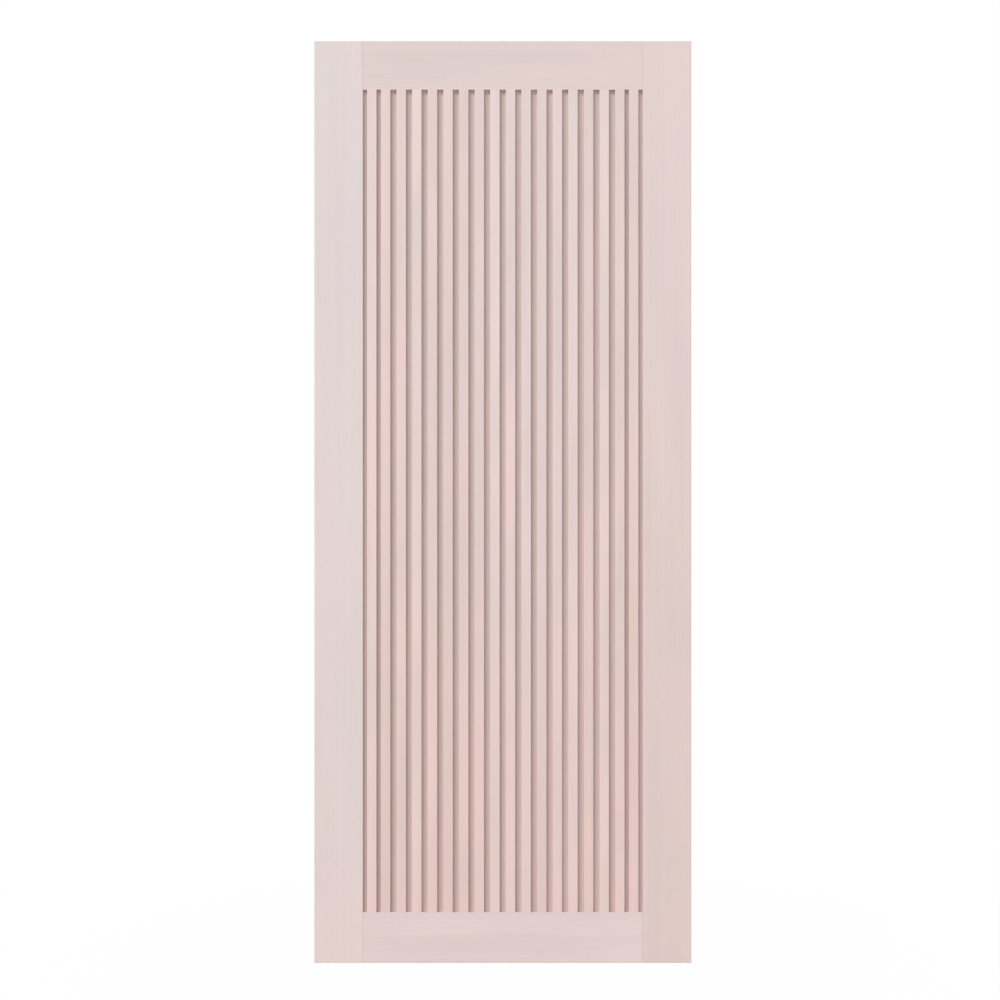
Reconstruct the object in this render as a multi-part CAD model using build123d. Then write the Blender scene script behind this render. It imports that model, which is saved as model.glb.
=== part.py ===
"""A solid timber door leaf with upright slats let into both of its faces.

Two stiles and two rails are joined by haunched mortise-and-tenon joints.
A core panel floats in a groove that runs round the inside of this frame.
Slats stand on both faces of the panel, between the rails, flush with the frame's faces.

Lengths are in millimetres. X runs across the leaf from its hinge edge, Z runs up from its
foot, and Y runs through its thickness with 0 in the middle. The front face looks towards -Y.
"""

import os

from build123d import *

# The leaf
leaf_height = 2200
leaf_width = 900
leaf_thickness = 40

# The frame's four members
stile_width = 116
top_rail_height = 116
bottom_rail_height = 121

# The sanded edges
outer_arris = 1.5  # radius round the edge of each face of the leaf
seam_arris = 0.3  # chamfer on each side of the line where a rail meets a stile
slat_arris = 0.8  # radius on the two outer edges of a slat

# The core panel and the groove that holds it
panel_thickness = 20
groove_depth = 12
groove_play = 0.1  # between the panel and each cheek of its groove
panel_edge_gap = 2  # room for the panel to swell before it reaches the groove's floor

# The mortise-and-tenon joints
tenon_length = 70
haunch_height = 30  # from the end of the stile to the edge of the tenon
haunch_play = 0.2  # between the haunch and the floor of the stile's groove
tenon_edge_play = 0.2  # between the tenon's narrow edges and the ends of its mortise
tenon_end_gap = 2  # between the tenon's end and the mortise's floor, where glue collects

# The slats on each face
slat_count = 18
slat_width = 23
edge_gap = 10  # the narrow gaps beside the stiles
edge_gap_count = 2  # how many of them there are at each side

# What follows from the driving sizes
half_thickness = leaf_thickness / 2
opening_width = leaf_width - 2 * stile_width
opening_bottom = bottom_rail_height
opening_top = leaf_height - top_rail_height
opening_height = opening_top - opening_bottom
groove_width = panel_thickness + 2 * groove_play
tenon_thickness = panel_thickness  # one groove takes the panel and the haunch alike
slat_depth = (leaf_thickness - panel_thickness) / 2
middle_gap_count = slat_count + 1 - 2 * edge_gap_count
middle_gap = (
    opening_width - slat_count * slat_width - 2 * edge_gap_count * edge_gap
) / middle_gap_count


def span_box(x_span, y_span, z_span):
    """A block between two values of x, y and z."""
    size = [high - low for low, high in (x_span, y_span, z_span)]
    corner = Pos(x_span[0], y_span[0], z_span[0])
    return corner * Box(*size, align=(Align.MIN, Align.MIN, Align.MIN))


def leaf_envelope():
    """The whole leaf as one block, with the edge of its front and back face rounded."""
    block = span_box(
        (0, leaf_width),
        (-half_thickness, half_thickness),
        (0, leaf_height),
    )
    faces = block.faces().sort_by(Axis.Y)
    return fillet(faces[0].edges() + faces[-1].edges(), outer_arris)


def tenon_span(rail_height):
    """How far a tenon lies from the rail's outer edge: from its haunch to the rail's groove."""
    return haunch_height, rail_height - groove_depth


def mortise(rail_height):
    """The hole in a stile for one tenon, with the rail's outer edge at z = 0."""
    low, high = tenon_span(rail_height)
    return span_box(
        (stile_width - tenon_length - tenon_end_gap, stile_width),
        (-groove_width / 2, groove_width / 2),
        (low - tenon_edge_play, high + tenon_edge_play),
    )


def stile_on_the_left():
    """The hinge-side upright: grooved along its inner edge and mortised near both ends."""
    section = Rectangle(stile_width, leaf_thickness, align=(Align.MIN, Align.CENTER))
    inner_corners = section.vertices().group_by(Axis.X)[-1]
    section = chamfer(inner_corners, seam_arris)
    groove = Pos(stile_width, 0) * Rectangle(
        groove_depth, groove_width, align=(Align.MAX, Align.CENTER)
    )
    stile = extrude(section - groove, leaf_height)
    bottom_mortise = mortise(bottom_rail_height)
    top_mortise = Pos(0, 0, leaf_height) * mortise(top_rail_height).mirror(Plane.XY)
    return stile - bottom_mortise - top_mortise


def mirrored_across_leaf(piece):
    """The same piece at the other side of the leaf."""
    return piece.mirror(Plane.YZ.offset(leaf_width / 2))


def tenon_on_the_left(rail_height):
    """A rail's left tenon with its haunch, which fills the stile's groove up to its end."""
    low, high = tenon_span(rail_height)
    tenon_end = stile_width - tenon_length
    haunch_end = stile_width - groove_depth + haunch_play
    outline = Polyline(
        (stile_width, 0),
        (haunch_end, 0),
        (haunch_end, low),
        (tenon_end, low),
        (tenon_end, high),
        (stile_width, high),
        close=True,
    )
    return extrude(Plane.XZ * make_face(outline), tenon_thickness / 2, both=True)


def rail(rail_height):
    """A rail with its outer edge at z = 0, grooved along its inner edge, tenoned at both ends."""
    bar = span_box(
        (stile_width, leaf_width - stile_width),
        (-half_thickness, half_thickness),
        (0, rail_height),
    )
    groove = span_box(
        (stile_width, leaf_width - stile_width),
        (-groove_width / 2, groove_width / 2),
        (rail_height - groove_depth, rail_height),
    )
    face_edges = bar.edges().filter_by(Axis.Z)
    bar = chamfer(face_edges, seam_arris) - groove
    tenon = tenon_on_the_left(rail_height)
    return bar + tenon + mirrored_across_leaf(tenon)


def core_panel():
    """The board that fills the frame, held on all four sides with room to swell."""
    reach = groove_depth - panel_edge_gap
    return span_box(
        (stile_width - reach, leaf_width - stile_width + reach),
        (-panel_thickness / 2, panel_thickness / 2),
        (opening_bottom - reach, opening_top + reach),
    )


def slat(left_edge):
    """One slat on the front of the panel, from rail to rail."""
    section = Rectangle(slat_width, slat_depth, align=(Align.MIN, Align.MIN))
    outer_corners = section.vertices().group_by(Axis.Y)[0]
    section = fillet(outer_corners, slat_arris)
    return Pos(left_edge, -half_thickness, opening_bottom) * extrude(section, opening_height)


def slat_left_edges():
    """Where each slat starts: narrow gaps beside the stiles, even wider ones between."""
    edge_gaps = [edge_gap] * edge_gap_count
    gaps = edge_gaps + [middle_gap] * middle_gap_count + edge_gaps
    left_edges = []
    reached = stile_width
    for gap in gaps[:-1]:
        left_edges.append(reached + gap)
        reached += gap + slat_width
    return left_edges


def door_pieces():
    """Every piece of the leaf by name."""
    envelope = leaf_envelope()
    stile = stile_on_the_left() & envelope
    top_rail = Pos(0, 0, leaf_height) * rail(top_rail_height).mirror(Plane.XY)
    pieces = {
        "stile_left": stile,
        "stile_right": mirrored_across_leaf(stile),
        "rail_top": top_rail & envelope,
        "rail_bottom": rail(bottom_rail_height) & envelope,
        "panel": core_panel(),
    }
    for number, left_edge in enumerate(slat_left_edges(), start=1):
        front_slat = slat(left_edge)
        pieces[f"slat_front_{number:02d}"] = front_slat
        pieces[f"slat_back_{number:02d}"] = front_slat.mirror(Plane.XZ)
    return pieces


os.makedirs("parts", exist_ok=True)
for name, piece in door_pieces().items():
    export_step(piece, f"parts/{name}.step")

print(f"gap between the middle slats: {middle_gap:.2f} mm")
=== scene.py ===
# %% [markdown]
# # A slatted timber door leaf
#
# The door is a jointed frame of four boards round a core panel, with a row of upright
# slats on each face. It is new, sanded and unfinished, in a pale wood with a pink cast.
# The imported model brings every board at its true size. This lesson gives the boards their
# figure, rebuilds the two rows of slats with Geometry Nodes, and lights the leaf softly.

import math

import bpy
from mathutils import Matrix, Vector


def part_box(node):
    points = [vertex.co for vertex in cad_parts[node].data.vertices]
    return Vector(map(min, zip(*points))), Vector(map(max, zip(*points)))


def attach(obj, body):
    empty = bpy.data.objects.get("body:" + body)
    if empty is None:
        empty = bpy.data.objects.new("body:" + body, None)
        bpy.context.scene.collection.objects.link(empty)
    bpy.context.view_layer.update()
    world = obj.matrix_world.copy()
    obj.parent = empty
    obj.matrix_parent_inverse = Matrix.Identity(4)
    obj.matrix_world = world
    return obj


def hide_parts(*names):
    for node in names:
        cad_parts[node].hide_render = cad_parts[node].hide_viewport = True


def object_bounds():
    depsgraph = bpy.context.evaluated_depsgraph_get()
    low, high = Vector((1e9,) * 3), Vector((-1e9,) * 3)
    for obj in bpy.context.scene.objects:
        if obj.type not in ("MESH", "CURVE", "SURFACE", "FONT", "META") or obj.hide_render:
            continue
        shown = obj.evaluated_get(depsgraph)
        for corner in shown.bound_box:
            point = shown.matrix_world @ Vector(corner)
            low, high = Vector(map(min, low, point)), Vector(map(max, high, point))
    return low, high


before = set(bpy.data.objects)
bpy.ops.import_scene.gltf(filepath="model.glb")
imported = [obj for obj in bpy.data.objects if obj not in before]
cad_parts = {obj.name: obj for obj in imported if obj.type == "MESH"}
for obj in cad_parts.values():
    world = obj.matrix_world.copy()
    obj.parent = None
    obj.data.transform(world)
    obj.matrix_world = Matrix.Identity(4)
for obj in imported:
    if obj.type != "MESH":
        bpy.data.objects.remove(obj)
cad_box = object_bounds()
print("pieces in the frame:", len(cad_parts))

# %% [markdown]
# ## Sizes
#
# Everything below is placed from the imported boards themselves: the leaf's own box, the
# opening between the stiles and above the bottom rail, and the slats. Reading them here
# means that the lesson still fits if a board is ever made wider or narrower. Lengths are
# in metres.

# %% Measure the leaf, its opening and its slats
leaf_low, leaf_high = cad_box
leaf_width = leaf_high.x - leaf_low.x
leaf_height = leaf_high.z - leaf_low.z
leaf_centre = (leaf_low + leaf_high) / 2

opening_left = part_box("stile_left")[1].x
opening_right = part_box("stile_right")[0].x
opening_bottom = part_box("slat_front_01")[0].z
opening_width = opening_right - opening_left

slat_names = sorted(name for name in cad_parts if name.startswith("slat_front_"))
slat_boxes = [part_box(name) for name in slat_names]
slat_size = slat_boxes[0][1] - slat_boxes[0][0]
print(f"leaf {leaf_width:.3f} x {leaf_height:.3f} m, opening {opening_width:.3f} m wide")

# %% [markdown]
# The gaps come in two widths: the ones nearest the stiles are narrow, and the others are
# wider. A gap counts as narrow when it lies nearer to the width beside the stile than to
# the widest one. That gives how many narrow gaps each side has, the same on both sides.

# %% Measure the gaps
gaps = [right[0].x - left[1].x for left, right in zip(slat_boxes, slat_boxes[1:])]
edge_gap = slat_boxes[0][0].x - opening_left
middle_gap = max(gaps)
narrow_gap_limit = (edge_gap + middle_gap) / 2
narrow_between_slats = sum(gap < narrow_gap_limit for gap in gaps)
edge_gap_count = 1 + narrow_between_slats // 2
print(f"{len(slat_names)} slats on each face, {slat_size.x * 1000:.1f} mm wide")
print(f"{edge_gap_count} gaps of {edge_gap * 1000:.1f} mm at each side, then {middle_gap * 1000:.1f} mm")

# %% [markdown]
# ## Camera
#
# The picture is square-on, with the leaf almost in the middle of a square frame. The ends
# of the gaps show a thin ledge below and a thin shaded edge above, so the lens is a few
# metres off and not infinitely far. The four edges of the leaf in the picture give the
# scale, and the scale and the distance give the focal length.

# %% Aim the camera
picture_size = 1000
leaf_left_px = 314.2
leaf_right_px = 691.3
leaf_top_px = 40.9
leaf_bottom_px = 963.0
camera_distance = 4.5
sensor_width = 36

metres_per_px_across = leaf_width / (leaf_right_px - leaf_left_px)
metres_per_px_up = leaf_height / (leaf_bottom_px - leaf_top_px)
metres_per_px = (metres_per_px_across + metres_per_px_up) / 2
picture_middle = picture_size / 2
aim_x = leaf_centre.x - ((leaf_left_px + leaf_right_px) / 2 - picture_middle) * metres_per_px
aim_z = leaf_centre.z + ((leaf_top_px + leaf_bottom_px) / 2 - picture_middle) * metres_per_px

camera_data = bpy.data.cameras.new("camera")
camera_data.sensor_width = sensor_width
camera_data.lens = sensor_width * camera_distance / (picture_size * metres_per_px)
camera = bpy.data.objects.new("camera", camera_data)
camera.location = (aim_x, leaf_low.y - camera_distance, aim_z)
camera.rotation_euler = (math.radians(90), 0, 0)
bpy.context.scene.collection.objects.link(camera)
bpy.context.scene.camera = camera
print(f"one pixel is {metres_per_px * 1000:.3f} mm, lens {camera_data.lens:.1f} mm")

# %% [markdown]
# ## Helpers for node trees
#
# Shaders and Geometry Nodes are both made of nodes and links. A few small helpers keep
# the rest readable. One adds a node and fills its inputs, with a plain value or with a
# link from another node. The others write one step of arithmetic each.

# %% Add a node, and do sums with nodes
def add_node(tree, kind, inputs=None, **settings):
    """A new node. Inputs are values, or sockets to link from."""
    node = tree.nodes.new(kind)
    for name, value in settings.items():
        setattr(node, name, value)
    for key, value in (inputs or {}).items():
        if isinstance(value, bpy.types.NodeSocket):
            tree.links.new(value, node.inputs[key])
        else:
            node.inputs[key].default_value = value
    return node


def first_output(tree, kind, inputs=None, **settings):
    """The first output of a new node."""
    return add_node(tree, kind, inputs, **settings).outputs[0]


def sum_node(tree, operation, *values):
    """One step of arithmetic on values or sockets."""
    return first_output(tree, "ShaderNodeMath", dict(enumerate(values)), operation=operation)


def product(tree, first, *others):
    """Numbers multiplied together, as values or sockets."""
    for other in others:
        first = sum_node(tree, "MULTIPLY", first, other)
    return first


def range_node(tree, value, low, high, low_out=0.0, high_out=1.0):
    """A smooth step from one range to another."""
    inputs = {"Value": value, "From Min": low, "From Max": high, "To Min": low_out, "To Max": high_out}
    return first_output(tree, "ShaderNodeMapRange", inputs, interpolation_type="SMOOTHSTEP")


def vector_sum(tree, operation, *vectors):
    """One step of arithmetic on vectors, as values or sockets."""
    node = add_node(tree, "ShaderNodeVectorMath", dict(enumerate(vectors)), operation=operation)
    return node.outputs["Value" if operation in ("LENGTH", "DISTANCE") else "Vector"]


def scaled(tree, vector, share):
    """A vector made longer or shorter."""
    inputs = {0: vector, "Scale": share}
    return first_output(tree, "ShaderNodeVectorMath", inputs, operation="SCALE")


def part_of(tree, vector, axis):
    """The X, Y or Z of a vector."""
    return add_node(tree, "ShaderNodeSeparateXYZ", {0: vector}).outputs[axis]


# %% [markdown]
# Colours are read off a screen as numbers from 0 to 255, which are spaced for the eye. A
# shader adds up light, so it wants the amount of light that each number stands for. The
# constants in the step between them are those of the standard curve for screens.

# %% Turn a screen colour into light
def linear(red, green, blue):
    """A colour as read off a screen, from 0 to 255, as the light it stands for."""
    def channel(value):
        share = value / 255
        return share / 12.92 if share <= 0.04045 else ((share + 0.055) / 1.055) ** 2.4
    return (channel(red), channel(green), channel(blue), 1)


print(f"a middle grey of 128 stands for {linear(128, 128, 128)[0]:.2f} of full light")

# %% [markdown]
# ## Timber
#
# Pale wood looks plain from across a room, yet up close it is never one colour. Growth
# rings run along each board as faint straight bands, fibres make fine streaks a fraction
# of a millimetre wide, and pores show as short dark dashes. Sawn across, the same rings
# show as arcs, and the open fibres drink the light, so the ends are darker.
#
# All of that follows the tree, so it is made in one node group that thinks of the log as
# standing up: its z is the grain. Noise that is squeezed along z gives streaks. The rings
# are made from the distance to the log's heart. One noise lets them wander, another makes
# some years wide and others narrow, and each year the wood darkens slowly and then quickly
# turns pale again. A picture of wood could be laid on instead, but it would repeat from
# board to board, and its rings wouldn't carry on round a corner into the end grain.

# %% Growth rings
ring_spacing = 0.0034
ring_wander = 0.010
heart_offset = (-0.31, 0.11, 0.0)  # beside the board, so that the rings are nearly straight on it
wander_noise = {"across": 5.0, "along": 0.9}
uneven_years_noise = {"Scale": 60.0, "Detail": 2.0}
uneven_years = 3.0  # how many years the noise can move a ring by
late_wood_start = 0.35  # as a share of the year
late_wood_peak = 0.93
noise_mean = (0.5, 0.5, 0.5)


def stretched_noise(tree, vector, across, along, detail=2.0, roughness=0.5):
    """Noise with so many features to the metre across the grain and along it."""
    squeezed = vector_sum(tree, "MULTIPLY", vector, (across, across, along))
    inputs = {"Vector": squeezed, "Scale": 1.0, "Detail": detail, "Roughness": roughness}
    return add_node(tree, "ShaderNodeTexNoise", inputs)


def distance_from_heart(tree, place):
    """How far a place lies from the log's heart, with a wander that bends the rings."""
    wander = stretched_noise(tree, place, **wander_noise)
    shift = vector_sum(tree, "SUBTRACT", wander.outputs["Color"], noise_mean)
    moved = vector_sum(tree, "ADD", place, scaled(tree, shift, ring_wander))
    from_heart = vector_sum(tree, "SUBTRACT", moved, heart_offset)
    return vector_sum(tree, "LENGTH", vector_sum(tree, "MULTIPLY", from_heart, (1, 1, 0)))


def growth_rings(tree, place):
    """0 in the pale wood that each year starts with, and 1 where the year's wood is darkest."""
    radius = distance_from_heart(tree, place)
    noise = {"W": radius, **uneven_years_noise}
    uneven = add_node(tree, "ShaderNodeTexNoise", noise, noise_dimensions="1D").outputs["Fac"]
    years = sum_node(tree, "DIVIDE", radius, ring_spacing)
    years = sum_node(tree, "ADD", years, product(tree, uneven, uneven_years))
    season = sum_node(tree, "FRACT", years)
    darkening = range_node(tree, season, late_wood_start, late_wood_peak)
    ending = range_node(tree, season, late_wood_peak, 1.0, 1.0, 0.0)
    return product(tree, darkening, ending)


print(f"the rings are {ring_spacing * 1000:.1f} mm apart on average")


# %% [markdown]
# Pores are the cut ends and sides of the tree's vessels. They could be painted on, but a
# cell texture needs no picture and never repeats. Its cells are stretched along the grain,
# and each holds at most one pore, as a dash round the cell's own point. The cell's random
# number decides whether the pore is there and how dark it is.

# %% Pores
pore_cells = (1100, 1100, 150)  # cells to the metre, twice across the grain and once along it
pore_core = 0.14  # this near to the cell's point, in cells, the pore is at its darkest
pore_rim = 0.30  # this far from it, the pore has faded out
pore_chances = (0.45, 0.75)  # no pore below the first number, and a full one above the second


def pore_dashes(tree, place):
    """Up to 1 in the middle of a pore, and 0 between pores."""
    cells = vector_sum(tree, "MULTIPLY", place, pore_cells)
    cell = add_node(tree, "ShaderNodeTexVoronoi", {"Vector": cells, "Scale": 1.0}).outputs
    near = range_node(tree, cell["Distance"], pore_core, pore_rim, 1.0, 0.0)
    number = first_output(tree, "ShaderNodeSeparateColor", {"Color": cell["Color"]})
    return product(tree, near, range_node(tree, number, *pore_chances))


print(f"a pore's cell is {1000 / pore_cells[0]:.1f} mm wide and {1000 / pore_cells[2]:.1f} mm long")


# %% [markdown]
# The rings and pores now go into one node group, with fibres, coarser streaks and soft
# patches, which are all stretched noise. Every material of the leaf shares this group, so
# the wood of all the boards is the same kind of wood.

# %% The figure of the wood, as one node group
fibre_noise = {"across": 1900.0, "along": 22.0, "detail": 3.0, "roughness": 0.6}
streak_noise = {"across": 150.0, "along": 1.1, "detail": 3.0, "roughness": 0.55}
patch_noise = {"across": 14.0, "along": 2.5, "detail": 3.0}
figure_numbers = ("Rings", "Fibres", "Streaks", "Pores", "Shade")


def build_figure():
    """The node group: a place in the log gives rings, fibres, streaks, pores and patches."""
    group = bpy.data.node_groups.new("timber_figure", "ShaderNodeTree")
    group.interface.new_socket("Place", in_out="INPUT", socket_type="NodeSocketVector")
    for name in figure_numbers:
        group.interface.new_socket(name, in_out="OUTPUT", socket_type="NodeSocketFloat")
    group.interface.new_socket("Tint", in_out="OUTPUT", socket_type="NodeSocketVector")
    place = group.nodes.new("NodeGroupInput").outputs["Place"]
    patches = stretched_noise(group, place, **patch_noise).outputs
    found = {
        "Rings": growth_rings(group, place),
        "Fibres": stretched_noise(group, place, **fibre_noise).outputs["Fac"],
        "Streaks": stretched_noise(group, place, **streak_noise).outputs["Fac"],
        "Pores": pore_dashes(group, place),
        "Shade": patches["Fac"],
        "Tint": patches["Color"],
    }
    result = group.nodes.new("NodeGroupOutput")
    for name, socket in found.items():
        group.links.new(socket, result.inputs[name])
    return group


timber_figure = build_figure()
print("timber figure:", len(timber_figure.nodes), "nodes")

# %% [markdown]
# ## The colour of a board
#
# Each board's colour here changes from end to end. The change is painted light: every board
# is cooler at the head of the leaf and warmer, and a little lighter or darker, towards its
# foot, as the light falls on the leaf. Soft patches of pink and grey lie over that, a few
# centimetres wide and much longer. The slats come from many boards, so each also gets a
# warmth of its own, from the number that the Geometry Nodes tree below gives it. All this
# could be stored as vertex colours, but a flat board has too few vertices, so the material
# works it out from the height on the leaf, a noise and the slat's number.

# %% Steps that make the colour
patch_tints = (0.16, 0.10, 0.10)  # how far the noise can move red, green and blue
slat_warmth = 0.7  # from the coolest slat to the warmest
other_digit = 7.0  # times this, a slat's number has a fraction that seems unrelated to it


def mix_colours(tree, share, first, second, blend="MIX"):
    """Two colours mixed, by a share that may also lie a little outside 0 to 1."""
    # A Mix node has sockets for numbers, vectors and colours. Those for colours are 6 and 7.
    inputs = {0: share, 6: first, 7: second}
    settings = {"data_type": "RGBA", "blend_type": blend, "clamp_factor": False}
    return add_node(tree, "ShaderNodeMix", inputs, **settings).outputs[2]


def colour_with_painted_light(tree, place_on_leaf, head_colour, foot_colour, own_warmth):
    """The board's colour at the head of the leaf, warmer towards its foot: a painted light gradient."""
    height = part_of(tree, place_on_leaf, "Z")
    # Painted light: the colour follows the height on the leaf, as the light falls on it.
    foot = range_node(tree, height, leaf_low.z, leaf_high.z, 1.0, 0.0)
    return mix_colours(tree, sum_node(tree, "ADD", foot, own_warmth), head_colour, foot_colour)


def warmth_of_slat(tree, slat_number):
    """How much warmer or cooler a slat is than the next, from another digit of its number."""
    other_number = sum_node(tree, "FRACT", product(tree, slat_number, other_digit))
    return sum_node(tree, "MULTIPLY_ADD", other_number, slat_warmth, -slat_warmth / 2)


def patch_tint(tree, tint, patchiness):
    """A faint tint for each patch of the board, with white for no change."""
    from_mean = vector_sum(tree, "SUBTRACT", tint, noise_mean)
    swing = tuple(patchiness * share for share in patch_tints)
    return vector_sum(tree, "MULTIPLY_ADD", from_mean, swing, (1, 1, 1))


print(f"a slat's own warmth moves it up to {slat_warmth / 2:.2f} of the way from head to foot colour")

# %% [markdown]
# ## The tones of a board
#
# The figure is kept weak, because this wood is nearly plain: rings, streaks and fibres
# change its tone by a few percent only. Faces whose normal runs along the grain are end
# grain, darker and with clearer rings. The sides of the slats are painted darker than their
# faces: that is painted shade, which deepens the gaps. Where a rail meets a stile, a line no
# wider than a pencil's is painted darker, partly as a glue line and partly as painted shade
# in the joint. Each of these could be a material of its own, but as factors, with 1 for no
# change, they only have to be multiplied, and every board can share them.

# %% Steps that make the tone
# A range of the noise's values, and the tones of its two ends.
streak_range, streak_tones = (0.30, 0.70), (0.985, 1.015)
fibre_range, fibre_tones = (0.25, 0.75), (0.965, 1.035)
patch_range, patch_shade = (0.3, 0.7), 0.022  # this much darker at one end and lighter at the other
pore_tone = 0.84
pale_ring_tone = 1.005
ring_depths = (0.03, 0.12)  # on a face and on end grain
# How squarely a face has to look along the grain, or sideways, and how dark it then is.
end_grain_range, end_grain_tone = (0.55, 0.9), 0.86
# Painted shade on the slats' sides, which deepens the gaps.
painted_side_shade_range, painted_side_shade_tone = (0.3, 0.9), 0.75
# The line at each seam is partly glue and partly painted shade in the joint.
glue_and_seam_shade_half_width = 0.0004
glue_and_seam_shade_tone = 0.62


def figure_tones(tree, figure, normal, patchiness):
    """How much lighter or darker each part of the figure makes the board."""
    along = sum_node(tree, "ABSOLUTE", part_of(tree, normal, "Z"))
    end_grain = range_node(tree, along, *end_grain_range)
    ring_depth = range_node(tree, end_grain, 0.0, 1.0, *ring_depths)
    shades = (1 - patchiness * patch_shade, 1 + patchiness * patch_shade)
    return [
        range_node(tree, figure["Streaks"], *streak_range, *streak_tones),
        range_node(tree, figure["Fibres"], *fibre_range, *fibre_tones),
        range_node(tree, figure["Pores"], 0.0, 1.0, 1.0, pore_tone),
        sum_node(tree, "SUBTRACT", pale_ring_tone, product(tree, figure["Rings"], ring_depth)),
        range_node(tree, end_grain, 0.0, 1.0, 1.0, end_grain_tone),
        range_node(tree, figure["Shade"], *patch_range, *shades),
    ]


def glue_and_seam_shade(tree, place_on_leaf, seams):
    """Darker within a hair's breadth of either of the two seams: partly a glue line and partly painted
    shade in the joint.
    """
    across = part_of(tree, place_on_leaf, "X")
    lines = [sum_node(tree, "COMPARE", across, seam, glue_and_seam_shade_half_width) for seam in seams]
    return range_node(tree, sum_node(tree, "MAXIMUM", *lines), 0.0, 1.0, 1.0, glue_and_seam_shade_tone)


def painted_side_shade(tree, normal):
    """Painted shade: darker on the faces that look sideways, into the gaps."""
    across = sum_node(tree, "ABSOLUTE", part_of(tree, normal, "X"))
    return range_node(tree, across, *painted_side_shade_range, 1.0, painted_side_shade_tone)


print(f"end grain is {end_grain_tone} as light as a face, and a sawn side {painted_side_shade_tone}")

# %% [markdown]
# ## The material of a board
#
# A material asks the group for the figure at its own place in its own log, and turns it
# into colour, roughness and relief. A board that lies across the leaf first turns its
# coordinates, so that its grain becomes the log's z. The slats could have a material
# each, but they share one: each slat's number gives it a place of its own in the log. The
# surface is matt, and its fibres and pores are so shallow that bump is enough for them.

# %% Put the steps together
slat_attribute = "board"  # holds each slat's number, from 0 to 1
slat_tones = (0.982, 1.018)
slats_apart = (0.9, 0.7, 5.3)  # from the slat's place in the log at number 0 to that at number 1
frame_patchiness = 0.6  # how strong the patches are, against those of the slats
slat_patchiness = 1.0
roughness_range, roughnesses = (0.2, 0.8), (0.62, 0.74)  # of the fibres' noise, and what it makes
wood_specular = 0.3
relief_strength = 0.5
relief_height = 0.00006


def turned(tree, vector, grain):
    """The same vector with the grain's direction as its z."""
    if grain == "Z":
        return vector
    parts = add_node(tree, "ShaderNodeSeparateXYZ", {0: vector}).outputs
    swapped = {"X": parts["Y"], "Y": parts["Z"], "Z": parts["X"]}
    return first_output(tree, "ShaderNodeCombineXYZ", swapped)


def give_surface(tree, wood, figure):
    """Set the shader's colour, a matt gloss and the relief of fibres and pores."""
    shader = tree.nodes["Principled BSDF"]
    shader.inputs["Specular IOR Level"].default_value = wood_specular
    roughness = range_node(tree, figure["Fibres"], *roughness_range, *roughnesses)
    relief = sum_node(tree, "SUBTRACT", figure["Fibres"], figure["Pores"])
    bumps = {"Strength": relief_strength, "Distance": relief_height, "Height": relief}
    tree.links.new(wood, shader.inputs["Base Color"])
    tree.links.new(roughness, shader.inputs["Roughness"])
    tree.links.new(first_output(tree, "ShaderNodeBump", bumps), shader.inputs["Normal"])


def timber(name, head_colour, foot_colour, grain="Z", log_place=(0, 0, 0), seams=(), of_slats=False):
    """Pale sanded wood, whose grain runs along X or Z, with glue lines and painted seam shade at its
    seams.
    """
    material = bpy.data.materials.new(name)
    material.use_nodes = True
    tree = material.node_tree
    coordinates = add_node(tree, "ShaderNodeTexCoord").outputs
    place_on_leaf = coordinates["Object"]
    place_in_log = vector_sum(tree, "ADD", turned(tree, place_on_leaf, grain), log_place)
    normal = turned(tree, coordinates["Normal"], grain)
    own_warmth = 0.0
    tones = []
    if of_slats:
        number = add_node(tree, "ShaderNodeAttribute", attribute_name=slat_attribute).outputs["Fac"]
        place_in_log = vector_sum(tree, "ADD", place_in_log, scaled(tree, slats_apart, number))
        own_warmth = warmth_of_slat(tree, number)
        # Each slat's own tone, and painted shade on its sides that deepens the gaps.
        tones = [range_node(tree, number, 0.0, 1.0, *slat_tones), painted_side_shade(tree, normal)]
    if seams:
        tones.append(glue_and_seam_shade(tree, place_on_leaf, seams))

    figure = add_node(tree, "ShaderNodeGroup", {"Place": place_in_log}, node_tree=timber_figure).outputs
    patchiness = slat_patchiness if of_slats else frame_patchiness
    tone = product(tree, *figure_tones(tree, figure, normal, patchiness), *tones)
    grey = first_output(tree, "ShaderNodeCombineColor", {0: tone, 1: tone, 2: tone})
    wood = colour_with_painted_light(tree, place_on_leaf, head_colour, foot_colour, own_warmth)
    wood = mix_colours(tree, 1.0, wood, patch_tint(tree, figure["Tint"], patchiness), "MULTIPLY")
    give_surface(tree, mix_colours(tree, 1.0, wood, grey, "MULTIPLY"), figure)
    return material


print(f"the bump of fibres and pores is {relief_height * 1000:.2f} mm deep")


# %% [markdown]
# ## Stiles, rails and panel
#
# The four frame members come from different boards: the left stile is a little cooler,
# the right one a little pinker, and both rails lie across. Those tints are partly the
# boards' own and partly painted light, which is cooler on the left and warmer on the right.
# Each has its own place in the log, so no figure carries on across a joint. The panel only
# shows in the gaps. All five could be modelled again, but the imported meshes already have
# their arrises and seams, so they only get their materials.

# %% Finish the stiles, the rails and the panel
rail_seams = (opening_left, opening_right)
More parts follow.
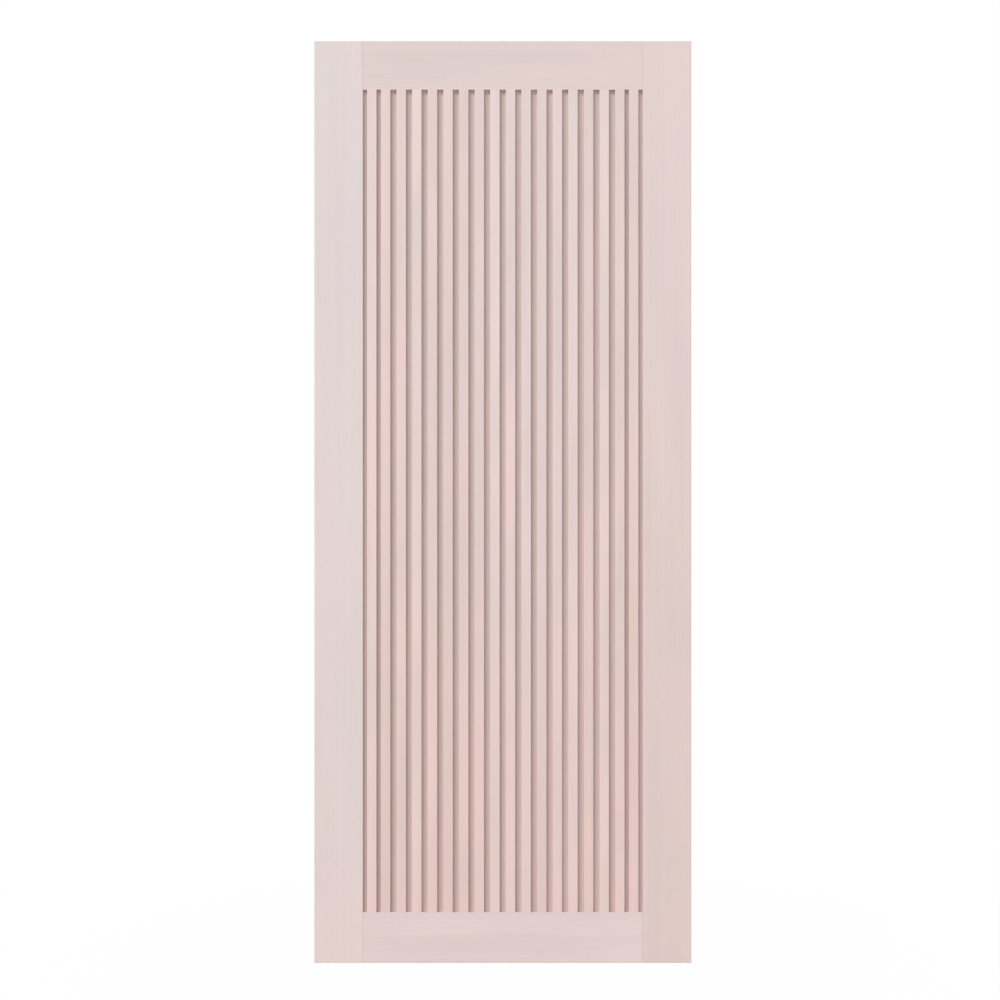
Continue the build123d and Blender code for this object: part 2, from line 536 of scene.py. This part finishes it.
# Each pair is the board's colour at the head and at the foot, and the change between them is painted
# light.
board_finishes = {
    "stile_left": timber("stile_left_wood", linear(226, 215, 213), linear(227, 211, 208)),
    "stile_right": timber("stile_right_wood", linear(228, 210, 207), linear(224, 202, 199),
                          log_place=(1.3, 0.4, 3.1)),
    "rail_top": timber("rail_top_wood", linear(225, 208, 205), linear(224, 204, 201), grain="X",
                       log_place=(2.2, 0.9, 5.7), seams=rail_seams),
    "rail_bottom": timber("rail_bottom_wood", linear(226, 212, 209), linear(226, 209, 207), grain="X",
                          log_place=(3.4, 0.2, 1.9), seams=rail_seams),
    "panel": timber("panel_wood", linear(228, 208, 204), linear(228, 204, 199),
                    log_place=(4.6, 0.6, 7.7)),
}
for node_name, board_finish in board_finishes.items():
    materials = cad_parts[node_name].data.materials
    materials.clear()
    materials.append(board_finish)
print("finished boards:", ", ".join(board_finishes))

# %% [markdown]
# ## Slats
#
# A row of slats is one strip of wood repeated, so it is a job for Geometry Nodes. It could
# also be an Array modifier, but that knows one spacing only, and it can't give each copy
# a number of its own. The tree's inputs are the sizes that were measured above, the arris
# of a slat, the place of the row's front, and a half turn that makes the row on the back.

# %% Name the tree's inputs
slat_arris = 0.0008
arris_segments = 5

row_inputs = {
    "Slats": ("NodeSocketInt", len(slat_names)),
    "Slat width": ("NodeSocketFloat", slat_size.x),
    "Slat depth": ("NodeSocketFloat", slat_size.y),
    "Slat length": ("NodeSocketFloat", slat_size.z),
    "Opening width": ("NodeSocketFloat", opening_width),
    "Edge gap": ("NodeSocketFloat", edge_gap),
    "Middle gap": ("NodeSocketFloat", middle_gap),
    "Edge gaps a side": ("NodeSocketInt", edge_gap_count),
    "Arris": ("NodeSocketFloat", slat_arris),
    "Row depth": ("NodeSocketFloat", leaf_low.y),
    "Turn": ("NodeSocketFloat", 0.0),
    "Seed": ("NodeSocketInt", 1),
}
print("inputs of a row:", ", ".join(row_inputs))

# %% [markdown]
# One slat is a rectangle whose two front corners are rounded, as a sanded arris is, swept
# up a straight line. The two back corners stay sharp, because they sit on the panel.

# %% Draw the outline and sweep it into a slat
def slat_outline(tree, given):
    """A closed outline with its front corners rounded, its front at y = 0 and its middle at x = 0."""
    sizes = {"Width": given["Slat width"], "Height": given["Slat depth"]}
    outline = first_output(tree, "GeometryNodeCurvePrimitiveQuadrilateral", sizes)
    depth = part_of(tree, first_output(tree, "GeometryNodeInputPosition"), "Y")
    front = sum_node(tree, "LESS_THAN", depth, 0.0)
    radius = product(tree, front, given["Arris"])
    corners = {"Curve": outline, "Radius": radius, "Count": arris_segments}
    rounded = first_output(tree, "GeometryNodeFilletCurve", corners, mode="POLY")
    half_depth = product(tree, given["Slat depth"], 0.5)
    to_front = first_output(tree, "ShaderNodeCombineXYZ", {"Y": half_depth})
    return first_output(tree, "GeometryNodeTransform", {"Geometry": rounded, "Translation": to_front})


def one_slat(tree, given):
    """The outline carried up a straight line and closed at both ends."""
    top = first_output(tree, "ShaderNodeCombineXYZ", {"Z": given["Slat length"]})
    line = first_output(tree, "GeometryNodeCurvePrimitiveLine", {"End": top})
    sweep = {"Curve": line, "Profile Curve": slat_outline(tree, given), "Fill Caps": True}
    return first_output(tree, "GeometryNodeCurveToMesh", sweep)


print(f"a slat is {slat_size.y * 1000:.1f} mm deep, and its arris {slat_arris * 1000:.1f} mm")


# %% [markdown]
# Each slat stands where the widths and gaps before it end. From the left, so many slats
# and gaps have been passed. The first few gaps are narrow, the last few are narrow again,
# and all the others are wide, so the tree only has to count how many of each there were.

# %% Find the place of each slat
def slat_places(tree, given):
    """A point at the foot of each slat's middle, counted from the left."""
    number = first_output(tree, "GeometryNodeInputIndex")
    passed = sum_node(tree, "ADD", number, 1.0)
    all_gaps = sum_node(tree, "ADD", given["Slats"], 1.0)
    before_last = sum_node(tree, "SUBTRACT", all_gaps, given["Edge gaps a side"])
    narrow_first = sum_node(tree, "MINIMUM", passed, given["Edge gaps a side"])
    narrow_last = sum_node(tree, "MAXIMUM", sum_node(tree, "SUBTRACT", passed, before_last), 0.0)
    narrow = sum_node(tree, "ADD", narrow_first, narrow_last)
    wide = sum_node(tree, "SUBTRACT", passed, narrow)
    half_opening = product(tree, given["Opening width"], 0.5)
    x = product(tree, sum_node(tree, "ADD", number, 0.5), given["Slat width"])
    x = sum_node(tree, "MULTIPLY_ADD", narrow, given["Edge gap"], x)
    x = sum_node(tree, "MULTIPLY_ADD", wide, given["Middle gap"], x)
    x = sum_node(tree, "SUBTRACT", x, half_opening)
    position = first_output(tree, "ShaderNodeCombineXYZ", {"X": x, "Y": given["Row depth"]})
    return first_output(tree, "GeometryNodePoints", {"Count": given["Slats"], "Position": position})


print(f"{len(slat_names) + 1} gaps in a row, of which {2 * edge_gap_count} are narrow")


# %% [markdown]
# The whole tree copies the slat to those places and gives each copy a random number from
# a fixed seed, so the row comes out the same every time. It stores the number on the
# copies before they are made real, because afterwards they are one mesh and no longer
# separate slats.

# %% Build the tree that makes a row
def build_slat_row(material):
    """The whole tree: places, copies, a number for each slat, and the half turn for the back."""
    tree = bpy.data.node_groups.new("slat_row", "GeometryNodeTree")
    tree.interface.new_socket("Row", in_out="OUTPUT", socket_type="NodeSocketGeometry")
    for name, (kind, value) in row_inputs.items():
        socket = tree.interface.new_socket(name, in_out="INPUT", socket_type=kind)
        socket.default_value = value
    given = tree.nodes.new("NodeGroupInput").outputs

    copying = {"Points": slat_places(tree, given), "Instance": one_slat(tree, given)}
    row = first_output(tree, "GeometryNodeInstanceOnPoints", copying)
    random_number = add_node(tree, "FunctionNodeRandomValue", {"Seed": given["Seed"]}, data_type="FLOAT")
    marking = {"Geometry": row, "Name": slat_attribute, "Value": random_number.outputs["Value"]}
    kept_as = {"data_type": "FLOAT", "domain": "INSTANCE"}
    row = first_output(tree, "GeometryNodeStoreNamedAttribute", marking, **kept_as)
    rotation = first_output(tree, "ShaderNodeCombineXYZ", {"Z": given["Turn"]})
    row = first_output(tree, "GeometryNodeTransform", {"Geometry": row, "Rotation": rotation})
    row = first_output(tree, "GeometryNodeRealizeInstances", {"Geometry": row})
    row = first_output(tree, "GeometryNodeSetMaterial", {"Geometry": row, "Material": material})
    result = tree.nodes.new("NodeGroupOutput")
    tree.links.new(row, result.inputs["Row"])
    return tree


# The slats' head and foot colours are painted light, darker and warmer towards the foot.
slat_wood = timber("slat_wood", linear(230, 210, 207), linear(229, 204, 198), of_slats=True)
slat_row = build_slat_row(slat_wood)
print("slat row tree:", len(slat_row.nodes), "nodes,", len(row_inputs), "inputs")

# %% [markdown]
# The tree makes a row about the leaf's middle. The row on the back is the same row with
# half a turn about the upright middle line. Each result is then turned into a plain mesh,
# moved to its place, and stands for the plain slats that came with the frame. Its flat
# faces stay flat, and only the rounded arrises are shaded smooth.

# %% Make the front row and the back row
squarely_facing = 0.999  # a face's normal lies this nearly along X, Y or Z


def baked(piece, name):
    """The piece's evaluated shape as a plain mesh of its own."""
    evaluated = piece.evaluated_get(bpy.context.evaluated_depsgraph_get())
    mesh = bpy.data.meshes.new_from_object(evaluated)
    mesh.name = name
    plain = bpy.data.objects.new(name, mesh)
    bpy.context.scene.collection.objects.link(plain)
    bpy.data.objects.remove(piece)
    return plain


def make_row(name, values):
    """A row of slats from the tree, with some inputs changed."""
    maker = bpy.data.objects.new("row_maker", bpy.data.meshes.new("row_maker"))
    bpy.context.scene.collection.objects.link(maker)
    modifier = maker.modifiers.new("slat_row", "NODES")
    modifier.node_group = slat_row
    for item in slat_row.interface.items_tree:
        if item.in_out == "INPUT" and item.name in values:
            modifier[item.identifier] = values[item.name]
    row = baked(maker, name)
    row.data.transform(Matrix.Translation((leaf_centre.x, 0, opening_bottom)))
    for face in row.data.polygons:
        face.use_smooth = max(abs(part) for part in face.normal) < squarely_facing
    return row


rows = {
    "front": make_row("slats_front", {"Turn": 0.0, "Seed": 3}),
    "back": make_row("slats_back", {"Turn": math.pi, "Seed": 8}),
}
for side, row in rows.items():
    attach(row, "root")
    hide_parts(*[name.replace("front", side) for name in slat_names])
    print(row.name, len(row.data.polygons), "faces")

# %% [markdown]
# ## Studio
#
# The leaf stands on a plain pale floor in front of nothing at all. Most of the light is
# an even white sky, which softens every shadow. Rays that go straight from the camera to
# the sky see white, whatever the sky's strength is, and so do rays by way of a mirror or
# through glass.

# %% The sky
sky_colour = (255, 255, 254)
sky_strength = 0.573
white = {"Color": (1, 1, 1, 1), "Strength": 1.0}


def seen_directly(tree):
    """1 where a ray comes from the camera, a mirror or glass, and 0 elsewhere."""
    path = add_node(tree, "ShaderNodeLightPath").outputs
    seen = sum_node(tree, "MAXIMUM", path["Is Camera Ray"], path["Is Glossy Ray"])
    return sum_node(tree, "MAXIMUM", seen, path["Is Transmission Ray"])


def build_sky():
    """White where it is seen, and an even soft light elsewhere."""
    sky = bpy.data.worlds.new("sky")
    sky.use_nodes = True
    tree = sky.node_tree
    tree.nodes.clear()
    soft = {"Color": linear(*sky_colour), "Strength": sky_strength}
    light = first_output(tree, "ShaderNodeBackground", soft)
    seen = first_output(tree, "ShaderNodeBackground", white)
    mixed = first_output(tree, "ShaderNodeMixShader", {0: seen_directly(tree), 1: light, 2: seen})
    add_node(tree, "ShaderNodeOutputWorld", {"Surface": mixed})
    return sky


bpy.context.scene.world = build_sky()
print(f"sky strength {sky_strength}")

# %% [markdown]
# The floor is painted a pale grey, which sends some light back up at the leaf. Seen
# directly it is white as well, but near the leaf a small share of the paint shows through,
# so the floor still keeps a trace of the leaf's shadow.

# %% The floor
floor_colour = (206, 206, 206)
floor_size = 60.0
floor_white_share = 0.975  # beside the leaf, the rest being paint
shadow_reach = 1.6  # from here outwards the floor is all white


def floor_paint():
    """Pale paint that looks white where it is seen, apart from a trace of shadow."""
    material = bpy.data.materials.new("pale_floor")
    material.use_nodes = True
    tree = material.node_tree
    tree.nodes.clear()
    paint = first_output(tree, "ShaderNodeBsdfDiffuse", {"Color": linear(*floor_colour)})
    seen = first_output(tree, "ShaderNodeEmission", white)
    place = add_node(tree, "ShaderNodeTexCoord").outputs["Object"]
    away = vector_sum(tree, "DISTANCE", place, (leaf_centre.x, leaf_centre.y, 0))
    white_share = range_node(tree, away, leaf_width / 2, shadow_reach, floor_white_share, 1.0)
    share = product(tree, seen_directly(tree), white_share)
    mixed = first_output(tree, "ShaderNodeMixShader", {0: share, 1: paint, 2: seen})
    add_node(tree, "ShaderNodeOutputMaterial", {"Surface": mixed})
    return material


def build_floor():
    """A large pale floor at the foot of the leaf."""
    half = floor_size / 2
    corners = [(-half, -half), (half, -half), (half, half), (-half, half)]
    mesh = bpy.data.meshes.new("floor")
    mesh.from_pydata([(x, y, leaf_low.z) for x, y in corners], [], [(0, 1, 2, 3)])
    mesh.materials.append(floor_paint())
    floor = bpy.data.objects.new("floor", mesh)
    bpy.context.scene.collection.objects.link(floor)


build_floor()
print(f"floor {floor_size:.0f} m across")

# %% [markdown]
# A row of lamps high on the left gives the gaps their darker left sides. Lamps in a room
# would light the head more than the foot, so these are suns, which light both alike. Side
# by side they act as one wide lamp, so the light fades softly across each gap. A second
# row stands behind the leaf, turned half round and lower, for whoever looks at its back.

# %% The lamps
# Each lamp lies so far to the side, and so high, for one step out from the face of the leaf.
lamp_sides = (0.4, 0.9, 1.4)
lamp_breadth = math.radians(14)
front_level = 0.382
front_rise = 0.95
back_level = 0.25
back_rise = 0.5


def add_lamp(level, side, depth, rise):
    """A broad, distant lamp that lies this way from the leaf.

    Its level is the light that it brings to the face of the leaf that it shines on.
    """
    direction = Vector((side, depth, rise)).normalized()
    facing = abs(direction.y)
    lamp_data = bpy.data.lights.new("lamp", "SUN")
    lamp_data.energy = math.pi * level / facing
    lamp_data.angle = lamp_breadth
    lamp = bpy.data.objects.new("lamp", lamp_data)
    lamp.rotation_euler = (-direction).to_track_quat("-Z", "Y").to_euler()
    bpy.context.scene.collection.objects.link(lamp)


for lamp_side in lamp_sides:
    add_lamp(front_level / len(lamp_sides), -lamp_side, -1.0, front_rise)
    add_lamp(back_level / len(lamp_sides), lamp_side, 1.0, back_rise)
bpy.context.scene.view_settings.view_transform = "Standard"
print(len(lamp_sides), "lamps in front and as many behind")
